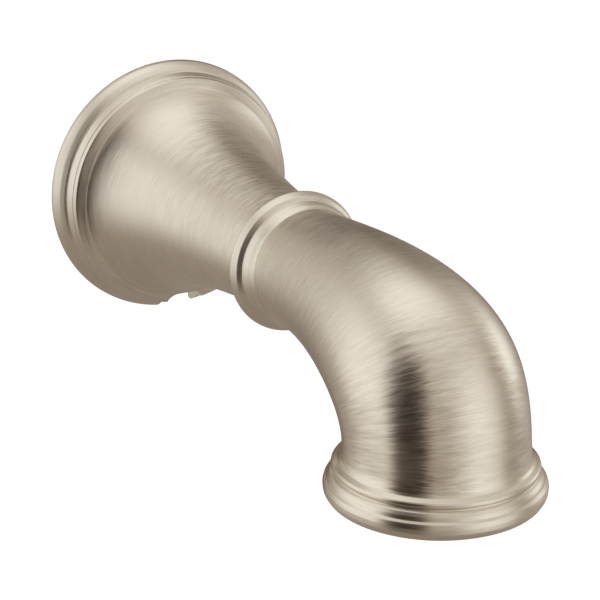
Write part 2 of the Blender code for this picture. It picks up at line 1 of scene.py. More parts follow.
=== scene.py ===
# %% [markdown]
# # A wall mounted bath spout in brushed nickel
# This lesson dresses a finished engineering model of a bath spout. The model says where every
# piece is and how the clamp moves; here the bell, the nose, the collar and the outlet ring are
# drawn anew with smooth surfaces and a worked metal finish, and the model's other pieces keep their
# own shapes and get materials of their own. Lengths are in metres, +Z is up, the wall is the plane
# Y = 0 and the spout runs out along -Y.

# %% Load the frame
import math

import bpy
import numpy as np
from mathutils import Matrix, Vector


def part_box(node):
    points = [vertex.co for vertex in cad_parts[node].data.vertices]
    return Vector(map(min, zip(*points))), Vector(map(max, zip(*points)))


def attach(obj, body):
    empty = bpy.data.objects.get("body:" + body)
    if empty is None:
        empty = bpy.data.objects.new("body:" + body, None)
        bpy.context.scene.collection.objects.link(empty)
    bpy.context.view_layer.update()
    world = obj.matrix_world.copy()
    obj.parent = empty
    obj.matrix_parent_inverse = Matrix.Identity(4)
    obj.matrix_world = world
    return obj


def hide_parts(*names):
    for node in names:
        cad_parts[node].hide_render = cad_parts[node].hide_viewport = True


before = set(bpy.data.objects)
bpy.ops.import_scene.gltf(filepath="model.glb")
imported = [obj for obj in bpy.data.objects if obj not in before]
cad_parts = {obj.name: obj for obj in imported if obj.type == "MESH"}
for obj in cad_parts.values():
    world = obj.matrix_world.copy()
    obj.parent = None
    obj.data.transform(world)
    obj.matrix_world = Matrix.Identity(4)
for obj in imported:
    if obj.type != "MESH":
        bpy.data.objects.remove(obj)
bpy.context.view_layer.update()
MM = 0.001

# %% [markdown]
# The camera stands to the left of the spout and a little above it, with a long lens, so that the
# two round ends stay round. It is set by where it stands and by the point it looks at.

# %% Camera
CAMERA_AZIMUTH = math.radians(-28.3)
CAMERA_RISE = math.radians(20.3)
CAMERA_DISTANCE = 0.5993
CAMERA_AIM = np.array([0.00065, -0.08222, -0.01080])
LENS = 132.6
SENSOR = 36.0


def look_at(place, aim):
    """Rotation that points a camera at `aim`: -Z takes the line of sight and Y stays up."""
    sight = aim - place
    heading = math.atan2(sight[0], sight[1])
    pitch = math.atan2(sight[2], math.hypot(sight[0], sight[1]))
    return (math.pi / 2 + pitch, 0.0, -heading)


def add_camera():
    """Stands the camera off the aim by its distance, turned by azimuth round Z and raised."""
    back = np.array([
        math.sin(CAMERA_AZIMUTH) * math.cos(CAMERA_RISE),
        -math.cos(CAMERA_AZIMUTH) * math.cos(CAMERA_RISE),
        math.sin(CAMERA_RISE),
    ])
    place = CAMERA_AIM + back * CAMERA_DISTANCE
    data = bpy.data.cameras.new("camera")
    data.lens = LENS
    data.sensor_width = SENSOR
    camera = bpy.data.objects.new("camera", data)
    camera.location = place
    camera.rotation_euler = look_at(place, CAMERA_AIM)
    bpy.context.scene.collection.objects.link(camera)
    bpy.context.scene.camera = camera
    print("camera at", place.round(4))


add_camera()

# %% [markdown]
# ## Shapes as arrays
# Every turned piece is a profile, drawn as a chain of corners with a rounding radius at each, then
# carried round an axis. A lathe works the same way: the tool follows the profile and the work
# turns. The whole surface is worked out at once as a grid of points.

# %% Profiles
ARC_STEPS = 7
MOST_OF_A_SIDE = 0.49    # the share of a side that one corner's arc may take
NEARLY_STRAIGHT = 1.55   # half of a corner's angle, above which it needs no arc


def rounded(corners, closed=True):
    """Outline through (along, radius, rounding) corners, in mm.

    Each corner is replaced by the arc that touches both of its sides: the arc starts
    rounding / tan(half the corner's angle) before the corner, and its centre lies on the line that
    halves the angle.
    """
    corners = np.array(corners, float)
    points = corners[:, :2]
    before = np.roll(points, 1, axis=0) - points
    after = np.roll(points, -1, axis=0) - points
    outline = []
    sides = zip(points, before, after, corners[:, 2])
    for k, (corner, back, ahead, rounding) in enumerate(sides):
        end = not closed and k in (0, len(points) - 1)
        length_back = np.hypot(*back)
        length_ahead = np.hypot(*ahead)
        if end or rounding <= 0 or min(length_back, length_ahead) == 0:
            outline.append(corner)
            continue
        back = back / length_back
        ahead = ahead / length_ahead
        half = 0.5 * math.acos(np.clip(back @ ahead, -1, 1))
        if half > NEARLY_STRAIGHT:
            outline.append(corner)
            continue
        reach = min(rounding / math.tan(half), MOST_OF_A_SIDE * length_back,
                    MOST_OF_A_SIDE * length_ahead)
        radius = reach * math.tan(half)
        middle = (back + ahead) / np.hypot(*(back + ahead))
        centre = corner + middle * (radius / math.sin(half))
        first = corner + back * reach - centre
        last = corner + ahead * reach - centre
        turn = np.linspace(0, 1, ARC_STEPS)[:, None]
        sweep = math.pi - 2 * half
        spoke = first * np.sin((1 - turn) * sweep) + last * np.sin(turn * sweep)
        outline.extend(centre + spoke / math.sin(sweep))
    return np.array(outline)


def refined(outline, longest):
    """A closed outline with extra points, evenly spaced on each side longer than `longest` mm."""
    pieces = []
    for start, end in zip(outline, np.roll(outline, -1, axis=0)):
        count = max(1, math.ceil(np.hypot(*(end - start)) / longest))
        share = np.linspace(0, 1, count, endpoint=False)[:, None]
        pieces.append(start + (end - start) * share)
    return np.vstack(pieces)


sample = rounded([(0, 0, 2), (10, 0, 2), (10, 10, 2), (0, 10, 2)])
print("a 10 mm square with rounded corners:", len(sample), "points")

# %% [markdown]
# A grid becomes a mesh when each square of four neighbours becomes a face. A UV map rides on the
# faces: U is the share of a turn round the piece, and V is the distance in metres along its
# profile, so a brushed finish knows which way the brush went and how far apart its hairlines lie.

# %% Grid to mesh
FINISH_MAP = "finish"
SHARP = math.radians(38)


def grid_mesh(name, points, along):
    """A mesh from a (rows, columns, 3) grid that closes both round its columns and round its rows.

    Face (i, j) joins points (i, j), (i, j + 1), (i + 1, j + 1) and (i + 1, j). U is j / columns,
    and V is the distance along the profile, which runs on past the last row to the first.
    """
    rows, columns = points.shape[:2]
    index = np.arange(rows * columns).reshape(rows, columns)
    next_row = np.roll(index, -1, axis=0)
    ring = [index, np.roll(index, -1, axis=1), np.roll(next_row, -1, axis=1), next_row]
    quads = np.stack(ring, -1).reshape(-1, 4)
    mesh = bpy.data.meshes.new(name)
    mesh.vertices.add(rows * columns)
    mesh.vertices.foreach_set("co", points.reshape(-1).astype(np.float32))
    mesh.loops.add(quads.size)
    mesh.loops.foreach_set("vertex_index", quads.reshape(-1).astype(np.int32))
    mesh.polygons.add(len(quads))
    mesh.polygons.foreach_set("loop_start", np.arange(0, quads.size, 4, dtype=np.int32))
    mesh.update(calc_edges=True)
    column = np.broadcast_to(np.arange(columns) / columns, index.shape)
    u = np.stack([column, column + 1 / columns, column + 1 / columns, column], -1)
    low = np.broadcast_to(along[:rows, None], index.shape)
    high = np.broadcast_to(along[1: rows + 1, None], index.shape)
    v = np.stack([low, low, high, high], -1)
    layer = mesh.uv_layers.new(name=FINISH_MAP)
    layer.data.foreach_set("uv", np.stack([u, v], -1).reshape(-1).astype(np.float32))
    mesh.validate()
    mesh.shade_smooth()
    mesh.set_sharp_from_angle(angle=SHARP)
    return mesh


def path_length(points):
    """Distance run along a closed row of points, starting at nought and ending at the first one."""
    steps = np.diff(np.vstack([points, points[:1]]), axis=0)
    return np.concatenate([[0.0], np.cumsum(np.linalg.norm(steps, axis=1))])


def signed_volume(mesh):
    """The sum of det(a, b, c) / 6 over triangles a, b, c; above nought when the faces point out."""
    mesh.calc_loop_triangles()
    corners = np.empty(len(mesh.vertices) * 3, np.float32)
    mesh.vertices.foreach_get("co", corners)
    index = np.empty(len(mesh.loop_triangles) * 3, np.int32)
    mesh.loop_triangles.foreach_get("vertices", index)
    a, b, c = corners.reshape(-1, 3).astype(float)[index.reshape(-1, 3)].transpose(1, 0, 2)
    return np.einsum("ij,ij->i", a, np.cross(b, c)).sum() / 6


def put_in_scene(mesh):
    """Shows the mesh as an object at the origin, with its faces turned outwards."""
    volume = signed_volume(mesh)
    if volume < 0:
        mesh.flip_normals()
    obj = bpy.data.objects.new(mesh.name, mesh)
    bpy.context.scene.collection.objects.link(obj)
    print(f"{obj.name}: {len(mesh.loop_triangles)} triangles, {abs(volume) * 1e6:.2f} cm3")
    return obj


def turned(name, outline, centre=(0, 0, 0), down=False, columns=256):
    """A closed outline of (along, radius) in mm carried round an axis through `centre`, in metres.

    Out from the wall the axis is -Y and a point is (r cos t, -a, r sin t); down, the axis is -Z
    and a point is (r cos t, r sin t, -a).
    """
    along = outline[:, 0, None] * MM
    radius = outline[:, 1, None] * MM
    turn = np.arange(columns) * 2 * math.pi / columns
    cos = radius * np.cos(turn)
    sin = radius * np.sin(turn)
    run = np.broadcast_to(-along, cos.shape)
    grid = np.stack([cos, sin, run] if down else [cos, run, sin], -1) + np.array(centre)
    return put_in_scene(grid_mesh(name, grid, path_length(outline * MM)))


print("edges that turn by more than", round(math.degrees(SHARP)), "degrees stay crisp")

# %% [markdown]
# ## The bell
# The bell is one spun and turned shell. From the wall out it has a domed bead, a narrow groove, a
# second band with a fine line cut in it, a cove, and then the long flare down to the neck. The
# flare falls away fast at first and then eases, which an exponential of a power gives.

# %% Bell outline
flange_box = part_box("bell")
FACET_SAG = 0.08         # the model's coarser facets lie this far inside the true circle
FLANGE_R = (flange_box[1][0] - flange_box[0][0]) / 2 / MM + FACET_SAG
BAND_R = FLANGE_R - 2.5  # the second band
NECK_R = 15.4
COLLAR_AT = 80.0
NECK_END = 81.0
ROOT_R = FLANGE_R - 6.25
ROOT_AT = 12.0
FLARE_PULL = 2.46
FLARE_EASE = 0.85
FLARE_SETTLE = 3.6
FLARE_ROWS = 110
BELL_WALL = 2.2
NECK_BORE_LENGTH = 8.5   # from the collar back to the end of the neck's close bore
SPIGOT_R = 11.4
GAP = 0.3


def flare(out):
    """Bell radius in mm, `out` mm from the wall; u runs from 0 at the root to 1 at the collar.

    It is neck + (root - neck) * exp(-pull * u ^ ease) * (1 - u ^ settle).
    """
    share = np.clip((np.asarray(out, float) - ROOT_AT) / (COLLAR_AT - ROOT_AT), 0, 1)
    fall = np.exp(-FLARE_PULL * share ** FLARE_EASE) * (1 - share ** FLARE_SETTLE)
    return NECK_R + (ROOT_R - NECK_R) * fall


def bell_outline():
    """Closed outline: flange beads, cove, flare, neck, then back inside a wall's thickness away."""
    beads = [
        (0.0, FLANGE_R - 3.4, 0.0), (0.0, FLANGE_R - 0.5, 0.5), (0.8, FLANGE_R - 0.05, 1.2),
        (2.3, FLANGE_R - 0.2, 4.0), (4.2, FLANGE_R - 1.1, 5.0), (5.7, FLANGE_R - 2.2, 1.0),
        (6.05, BAND_R - 0.3, 0.3), (6.5, BAND_R - 0.15, 0.4), (8.7, BAND_R - 0.75, 2.0),
        (8.95, BAND_R - 0.95, 0.2), (9.2, BAND_R - 0.95, 0.2), (10.2, BAND_R - 1.25, 0.6),
        (10.6, BAND_R - 1.75, 0.5), (12.05, ROOT_R - 0.03, 0.3),
    ]
    front = rounded(beads, closed=False)[:-1]
    out = ROOT_AT + (NECK_END - 2.0 - ROOT_AT) * np.linspace(0, 1, FLARE_ROWS) ** 1.9
    skin = np.stack([out, flare(out)], -1)
    bore = SPIGOT_R + GAP
    shoulder = COLLAR_AT - NECK_BORE_LENGTH
    neck = np.array([[NECK_END, NECK_R], [NECK_END, bore], [shoulder, bore]])
    inner = np.linspace(shoulder, 14.0, 40)
    slope = (flare(inner + 0.5) - flare(inner)) / 0.5
    cavity = np.stack([inner, flare(inner) - BELL_WALL * np.sqrt(1 + slope ** 2)], -1)
    rear = np.array([[10.6, ROOT_R - BELL_WALL], [8.2, FLANGE_R - 5.6], [4.2, FLANGE_R - 3.4]])
    return refined(np.vstack([front, skin, neck, cavity, rear]), 1.2)


bell = turned("bell_skin", bell_outline(), columns=300)

# %% [markdown]
# The flange is notched at the bottom, so that a key can reach the clamp screw behind it. The notch
# is milled: parallel sides, a flat top and round corners. A Boolean with a rounded block cuts it
# through the beads, and the faces it makes get a map of their own, in the same units as the rest.

# %% Key notch
NOTCH_HALF = 5.8
NOTCH_TOP = FLANGE_R - 7.2
NOTCH_CORNER = 3.2
NOTCH_DEEP = 17.0        # from the wall
OVERRUN_BACK = 5.0       # how far the tool runs on behind the wall's face
OVERRUN_DOWN = 6.0       # how far it runs on below the flange


def prism(name, outline, first, last):
    """A closed prism in metres: the outline's (x, z) swept from `first` to `last` along Y."""
    count = len(outline)
    points = np.insert(np.vstack([outline, outline]), 1, np.repeat([first, last], count), axis=1)
    ring = np.arange(count)
    sides = np.stack([ring, np.roll(ring, -1), np.roll(ring, -1) + count, ring + count], -1)
    faces = [*sides.tolist(), ring[::-1].tolist(), (ring + count).tolist()]
    mesh = bpy.data.meshes.new(name)
    mesh.from_pydata(points.tolist(), [], faces)
    if signed_volume(mesh) < 0:
        mesh.flip_normals()
    obj = bpy.data.objects.new(name, mesh)
    bpy.context.scene.collection.objects.link(obj)
    return obj


def carve(obj, tool):
    """Cuts the tool out of the object with an exact Boolean, then takes the tool away."""
    modifier = obj.modifiers.new("cut", "BOOLEAN")
    modifier.operation = "DIFFERENCE"
    modifier.solver = "EXACT"
    modifier.object = tool
    graph = bpy.context.evaluated_depsgraph_get()
    mesh = bpy.data.meshes.new_from_object(obj.evaluated_get(graph), depsgraph=graph)
    obj.modifiers.clear()
    mesh.name = obj.name
    obj.data = mesh
    bpy.data.objects.remove(tool)
    mend_map(mesh)
    mesh.set_sharp_from_angle(angle=SHARP)


CUT_TURN = 0.12          # the length that counts as one turn on a cut face, in metres


def mend_map(mesh):
    """Maps faces a tool left: where U is the same all over one, U is x / CUT_TURN, V is z - y."""
    count = len(mesh.loops)
    uv = np.empty(count * 2, np.float32)
    layer = mesh.uv_layers[FINISH_MAP]
    layer.data.foreach_get("uv", uv)
    uv = uv.reshape(-1, 2)
    start = np.empty(len(mesh.polygons), np.int32)
    mesh.polygons.foreach_get("loop_start", start)
    spread = np.maximum.reduceat(uv[:, 0], start) - np.minimum.reduceat(uv[:, 0], start)
    size = np.empty(len(mesh.polygons), np.int32)
    mesh.polygons.foreach_get("loop_total", size)
    bare = np.repeat(spread < 1e-6, size)
    corner = np.empty(count, np.int32)
    mesh.loops.foreach_get("vertex_index", corner)
    place = np.empty(len(mesh.vertices) * 3, np.float32)
    mesh.vertices.foreach_get("co", place)
    place = place.reshape(-1, 3)[corner]
    uv[bare] = np.stack([place[:, 0] / CUT_TURN, place[:, 2] - place[:, 1]], -1)[bare]
    layer.data.foreach_set("uv", uv.reshape(-1))


notch = rounded([
    (-NOTCH_HALF, -NOTCH_TOP, NOTCH_CORNER), (NOTCH_HALF, -NOTCH_TOP, NOTCH_CORNER),
    (NOTCH_HALF, -FLANGE_R - OVERRUN_DOWN, 0), (-NOTCH_HALF, -FLANGE_R - OVERRUN_DOWN, 0),
])
carve(bell, prism("notch_tool", notch * MM, OVERRUN_BACK * MM, -NOTCH_DEEP * MM))
print("bell after the notch:", len(bell.data.polygons), "faces")

# %% [markdown]
# ## The nose
# The nose is a casting whose cross-sections stay round while its axis bends down. Drawn from the
# side it is two curves: the crown over the top and the throat underneath. A circle strung between
# the two at equal shares of their lengths gives each cross-section, so the width follows from the
# side view. At its very end the skin turns out a little, to meet the outlet ring's cove.

# %% Nose
outlet_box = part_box("outlet_ring")
OUTLET_AT = -(outlet_box[0][1] + outlet_box[1][1]) / 2 / MM
OUTLET_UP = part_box("nose")[0][2] / MM
OUTLET_R = 23.6
NOSE_AT = 86.2
NOSE_BACK = 85.4
NOSE_IN_R = NECK_R + 1.0
MOUTH_BORE_R = OUTLET_R - 3.8
MOUTH_FLARE = 0.45       # how far the skin turns out at its very end
FLARE_REACH = 1.0
CROWN_HANDLE, CROWN_RISE, CROWN_SHOULDER = 0.458, 2.5, 1.3
THROAT_HANDLE, THROAT_RISE, THROAT_CORNER = 0.368, 1.7, (4.5, 6.6)
NOSE_ROWS = 170
SPIGOT_LENGTH = 23.7
SPIGOT_WALL = 2.2
SPIGOT_EDGE = 0.7        # chamfer on its end
NOSE_WALL = 2.6
CHAMBER_ROWS = 40
CHAMBER_UP = 13.4        # the chamber's floor above the nose's end
SILL_HANDLE = 0.40
LEDGE = 2.8              # how far the washer's ledge stands in from the mouth's bore
NOSE_COLUMNS = 256
print(f"outlet centre {OUTLET_AT:.2f} mm out and {OUTLET_UP:.2f} mm up")


def cubic(corners, share):
    """Points of a cubic Bezier: corners weighted by (1-t)^3, 3(1-t)^2 t, 3(1-t) t^2 and t^3."""
    t = np.asarray(share, float)[:, None]
    a, b, c, d = np.array(corners, float)
    return (1 - t) ** 3 * a + 3 * (1 - t) ** 2 * t * b + 3 * (1 - t) * t ** 2 * c + t ** 3 * d


def hoops(high, low):
    """(centre, across, radius) of the circles whose tops and bottoms are these (out, up) points."""
    gap = high - low
    length = np.hypot(*gap.T)
    return (high + low) / 2, gap / length[:, None], length / 2


def straight(stations):
    """The same three for circles square to the spout's axis at (out, radius) stations."""
    stations = np.array(stations, float)
    centre = np.stack([stations[:, 0], np.zeros(len(stations))], -1)
    return centre, np.tile([0.0, 1.0], (len(stations), 1)), stations[:, 1]


def level(stations):
    """The same three for level circles about the outlet's axis at (up, radius) stations."""
    stations = np.array(stations, float)
    centre = np.stack([np.full(len(stations), OUTLET_AT), stations[:, 0]], -1)
    return centre, np.tile([1.0, 0.0], (len(stations), 1)), stations[:, 1]


def ring_grid(centre, across, radius, columns):
    """Points centre + r (cos t across + sin t X) of each circle: (circles, columns, 3), metres."""
    turn = np.arange(columns) * 2 * math.pi / columns
    out = centre[:, 0, None] + radius[:, None] * across[:, 0, None] * np.cos(turn)
    up = centre[:, 1, None] + radius[:, None] * across[:, 1, None] * np.cos(turn)
    side = radius[:, None] * np.sin(turn)
    return np.stack([side, -out, up], -1) * MM


def nose_rings():
    """Every circle of the casting in turn: outside, shoulder, spigot, chamber and mouth.

    The skin's radius grows by flare * exp(-height above the end / reach) towards the mouth.
    """
    span = OUTLET_AT - NOSE_AT
    fall = NOSE_IN_R - OUTLET_UP
    front = OUTLET_AT + OUTLET_R
    heel = OUTLET_AT - OUTLET_R
    crown = [(NOSE_AT, NOSE_IN_R), (NOSE_AT + CROWN_HANDLE * span, NOSE_IN_R + CROWN_RISE),
             (front, CROWN_SHOULDER * fall + OUTLET_UP), (front, OUTLET_UP)]
    throat = [(NOSE_AT, -NOSE_IN_R), (NOSE_AT + THROAT_HANDLE * span, THROAT_RISE - NOSE_IN_R),
              (heel + THROAT_CORNER[0], OUTLET_UP + THROAT_CORNER[1]), (heel, OUTLET_UP)]
    share = 1 - np.linspace(0, 1, NOSE_ROWS) ** 1.6
    centre, across, radius = hoops(cubic(crown, share), cubic(throat, share))
    turned_out = MOUTH_FLARE * np.exp((OUTLET_UP - centre[:, 1]) / FLARE_REACH)
    outside = centre, across, radius + turned_out
    spigot_end = NOSE_BACK - SPIGOT_LENGTH
    bore = SPIGOT_R - SPIGOT_WALL
    spigot = straight([
        (NOSE_BACK, NOSE_IN_R - 0.1), (NOSE_BACK, SPIGOT_R), (spigot_end + SPIGOT_EDGE, SPIGOT_R),
        (spigot_end, SPIGOT_R - SPIGOT_EDGE), (spigot_end, bore), (NOSE_AT + 2.6, bore),
    ])
    chamber = NOSE_IN_R - NOSE_WALL
    floor = OUTLET_UP + CHAMBER_UP
    roof = [(NOSE_AT + 5.5, chamber), (NOSE_AT + CROWN_HANDLE * span, chamber + CROWN_RISE),
            (front - 2 * NOSE_WALL, CROWN_SHOULDER * fall + OUTLET_UP - 12),
            (OUTLET_AT + MOUTH_BORE_R - 0.7, floor)]
    sill = [(NOSE_AT + 5.5, -chamber), (NOSE_AT + SILL_HANDLE * span, THROAT_RISE - chamber),
            (heel, OUTLET_UP + 7.5), (OUTLET_AT - MOUTH_BORE_R + 2.2, floor)]
    share = np.linspace(0, 1, CHAMBER_ROWS)
    inside = hoops(cubic(roof, share), cubic(sill, share))
    mouth = level([(floor - 1.6, MOUTH_BORE_R - LEDGE), (floor - 3.6, MOUTH_BORE_R - LEDGE),
                   (floor - 3.6, MOUTH_BORE_R), (OUTLET_UP, MOUTH_BORE_R)])
    return [np.concatenate(part) for part in zip(outside, spigot, inside, mouth)]


centre, across, radius = nose_rings()
grid = ring_grid(centre, across, radius, NOSE_COLUMNS)
crest = np.stack([centre[:, 0], centre[:, 1] + radius], -1) * MM
nose = put_in_scene(grid_mesh("nose_skin", grid, path_length(crest)))

# %% [markdown]
# ## The collar and the outlet ring
# Both are turned rings. The collar has one sloping bead, a cove, and a shallow cone whose feather
# edge runs out on the nose.

# %% Collar
def collar_outline():
    """Closed outline of the beaded collar, in mm out from the wall."""
    c = COLLAR_AT
    corners = [
        (c + 0.05, NECK_R - 0.4, 0.0), (c + 0.05, NECK_R + 0.35, 0.15),
        (c - 0.05, NECK_R + 2.5, 1.0), (c + 0.1, NECK_R + 4.05, 0.7), (c + 0.7, NECK_R + 4.35, 0.8),
        (c + 2.95, NECK_R + 3.5, 1.0), (c + 4.1, NECK_R + 2.35, 0.5), (c + 4.6, NECK_R + 2.35, 0.4),
        (c + 6.1, NECK_R + 1.85, 3.0), (c + 7.5, NECK_R + 1.2, 5.0), (c + 8.5, NECK_R + 0.98, 0.0),
        (c + 8.5, NECK_R + 0.8, 0.0), (c + 5.3, NECK_R + 0.8, 0.0), (c + 5.1, SPIGOT_R + GAP, 0.0),
        (c + 1.3, SPIGOT_R + GAP, 0.0), (c + 1.3, NECK_R - 0.4, 0.0),
    ]
    return refined(rounded(corners), 0.8)


collar = turned("collar_bead", collar_outline())

# %% [markdown]
# The outlet ring carries on from the nose's skin in a cove. It has a slim bead, a groove, a step,
# and a heavy bead whose lip rolls under into the flared mouth.

# %% Outlet ring
def outlet_outline():
    """Closed outline of the outlet ring, in mm down from the nose's end."""
    sleeve = MOUTH_BORE_R - GAP
    rim = OUTLET_R
    corners = [
        (-5.0, sleeve - 2.2, 0.3), (-5.0, sleeve, 0.3), (0.0, sleeve, 0.0),
        (0.0, rim + MOUTH_FLARE, 0.0), (0.7, rim + 0.85, 1.0), (1.3, rim + 2.0, 0.5),
        (1.7, rim + 2.38, 0.7), (2.45, rim + 2.42, 0.5), (2.95, rim + 1.9, 0.3),
        (3.3, rim + 1.95, 0.3), (3.7, rim + 2.65, 0.7), (4.6, rim + 3.25, 1.5),
        (5.5, rim + 3.5, 0.6), (6.05, rim + 4.15, 0.6), (7.2, rim + 4.45, 1.6),
        (8.8, rim + 4.35, 2.2), (10.3, rim + 3.4, 1.3), (11.1, rim + 1.9, 0.9),
        (11.1, rim - 0.3, 0.9), (9.6, sleeve + 2.0, 3.5), (6.6, sleeve - 0.9, 3.5),
        (3.0, sleeve - 2.2, 2.5),
    ]
    return refined(rounded(corners), 0.9)


outlet_centre = (0, -OUTLET_AT * MM, OUTLET_UP * MM)
outlet = turned("outlet_bead", outlet_outline(), outlet_centre, down=True, columns=288)

# %% [markdown]
# ## Brushed nickel
# A brushed finish is thousands of hairlines from an abrasive belt. On this spout the belt ran round
# the bell, the nose and the rings, wandering a little with each pass. A few helpers keep the node
# trees short.

# %% Node helpers
def node(tree, kind, **values):
    """Adds a node. A value named as an input (_ for a space) is set on it, others on the node."""
    made = tree.nodes.new(kind)
    for name, value in values.items():
        socket = made.inputs.get(name.replace("_", " "))
        if socket is not None:
            socket.default_value = value
        else:
            setattr(made, name, value)
    return made


def wire(tree, *pairs):
    """Links each (output, input) pair."""
    for start, end in pairs:
        tree.links.new(start, end)


def maths(tree, operation, *sources):
    """A Math node fed by sockets or numbers; returns its output."""
    made = tree.nodes.new("ShaderNodeMath")
    made.operation = operation
    for socket, source in zip(made.inputs, sources):
        if isinstance(source, (int, float)):
            socket.default_value = source
        else:
            tree.links.new(source, socket)
    return made.outputs[0]


def new_group(name, inputs, outputs):
    """An empty shader group of float sockets: the tree, what it is given and what it makes."""
    tree = bpy.data.node_groups.new(name, "ShaderNodeTree")
    for label, default in inputs:
        socket = tree.interface.new_socket(label, in_out="INPUT", socket_type="NodeSocketFloat")
        socket.default_value = default
    for label in outputs:
        tree.interface.new_socket(label, in_out="OUTPUT", socket_type="NodeSocketFloat")
    given = tree.nodes.new("NodeGroupInput").outputs
    made = tree.nodes.new("NodeGroupOutput").inputs
    return tree, given, made


def noise_4d(tree, place, seed, **values):
    """A four-dimensional noise of the place, with the seed as its fourth coordinate."""
    texture = node(tree, "ShaderNodeTexNoise", noise_dimensions="4D", **values)
    wire(tree, (place, texture.inputs["Vector"]), (seed, texture.inputs["W"]))
    return texture


print("helpers:", [helper.__name__ for helper in (node, wire, maths, new_group, noise_4d)])


# %% [markdown]
# Hairlines are long one way and thin the other, so they are noise read in coordinates that are
# squeezed along the profile. Two sheets of them, bent by a slow wander, cross each other at small
# angles. To close the pattern round the piece, U is wound into a circle: its cosine and sine become
# two coordinates and V the third.

# %% Hairline group
SLOW_ROUND, SLOW_ALONG = 120.0, 90.0      # per metre
CLOUD_SCALE = 60.0                        # per metre
COARSE_ROUND, COARSE_ALONG = 0.55, 0.28   # as a share of the fine lines' scales


def hairline_group():
    """Lines is the mean of two stretched noises, each bent in V by wander * (slow noise - 0.5).

    Coarse is one broader stretched noise and Cloud a soft one that isn't stretched.
    """
    tree, given, made = new_group(
        "hairlines",
        [("Radius", 0.02), ("Length", 0.006), ("Width", 0.0004), ("Wander", 0.0012), ("Seed", 0.0)],
        ["Lines", "Coarse", "Cloud"],
    )
    uv = node(tree, "ShaderNodeUVMap", uv_map=FINISH_MAP)
    split = node(tree, "ShaderNodeSeparateXYZ")
    wire(tree, (uv.outputs["UV"], split.inputs[0]))
    turn = maths(tree, "MULTIPLY", split.outputs["X"], 2 * math.pi)
    cos = maths(tree, "MULTIPLY", maths(tree, "COSINE", turn), given["Radius"])
    sin = maths(tree, "MULTIPLY", maths(tree, "SINE", turn), given["Radius"])

    def noise(scale_round, scale_along, run, detail, seed):
        place = node(tree, "ShaderNodeCombineXYZ")
        wire(tree, (maths(tree, "MULTIPLY", cos, scale_round), place.inputs[0]),
             (maths(tree, "MULTIPLY", sin, scale_round), place.inputs[1]),
             (maths(tree, "MULTIPLY", run, scale_along), place.inputs[2]))
        fourth = maths(tree, "ADD", given["Seed"], seed)
        texture = noise_4d(tree, place.outputs[0], fourth, Scale=1.0, Detail=detail, Roughness=0.6)
        return texture.outputs["Fac"]

    round_scale = maths(tree, "DIVIDE", 1.0, given["Length"])
    along_scale = maths(tree, "DIVIDE", 1.0, given["Width"])
    v = split.outputs["Y"]
    sheets = []
    for seed in (3.1, 7.7):
        slow = noise(SLOW_ROUND, SLOW_ALONG, v, 1.0, seed)
        shift = maths(tree, "MULTIPLY", maths(tree, "SUBTRACT", slow, 0.5), given["Wander"])
        sheets.append(noise(round_scale, along_scale, maths(tree, "ADD", v, shift), 3.0, seed + 10))
    both = maths(tree, "MULTIPLY", maths(tree, "ADD", *sheets), 0.5)
    coarse = noise(maths(tree, "MULTIPLY", round_scale, COARSE_ROUND),
                   maths(tree, "MULTIPLY", along_scale, COARSE_ALONG), v, 2.0, 31.0)
    cloud = noise(CLOUD_SCALE, CLOUD_SCALE, v, 3.0, 47.0)
    wire(tree, (both, made["Lines"]), (coarse, made["Coarse"]), (cloud, made["Cloud"]))
    return tree


HAIRLINES = hairline_group()
print("hairlines:", len(HAIRLINES.nodes), "nodes")

# %% [markdown]
# The nickel itself is warm and mostly mirrors the room. The hairlines shade its colour and its
# polish and tilt its normal a little. Anisotropy spreads each highlight across the brushing, and
# the map's tangent tells the shader which way that is.

# %% Nickel material
NICKEL_DARK = (0.66, 0.60, 0.49)
NICKEL_LIGHT = (0.84, 0.775, 0.655)
FINE_SHARE = 0.65        # of the fine lines; the rest is the broad ones
POLISH_SPREAD = 0.07     # how far the lines move the roughness each way
CLOUD_SPREAD = 0.16      # how far the cloud moves it in all


def ramp(tree, source, low, high, start, end):
    """Maps the source from low..high to start..end, clamped."""
    made = node(tree, "ShaderNodeMapRange", From_Min=low, From_Max=high, To_Min=start, To_Max=end)
    wire(tree, (source, made.inputs["Value"]))
    return made.outputs["Result"]


def blend_colours(tree, factor, dark, light):
    """A colour that runs from dark to light as the factor runs from 0 to 1."""
    made = node(tree, "ShaderNodeMix", data_type="RGBA")
    made.inputs[6].default_value = (*dark, 1.0)
    made.inputs[7].default_value = (*light, 1.0)
    tree.links.new(factor, made.inputs[0])
    return made.outputs[2]


def new_material(name):
    """A material with its tree and its Principled shader."""
    material = bpy.data.materials.new(name)
    material.use_nodes = True
    return material, material.node_tree, material.node_tree.nodes["Principled BSDF"]


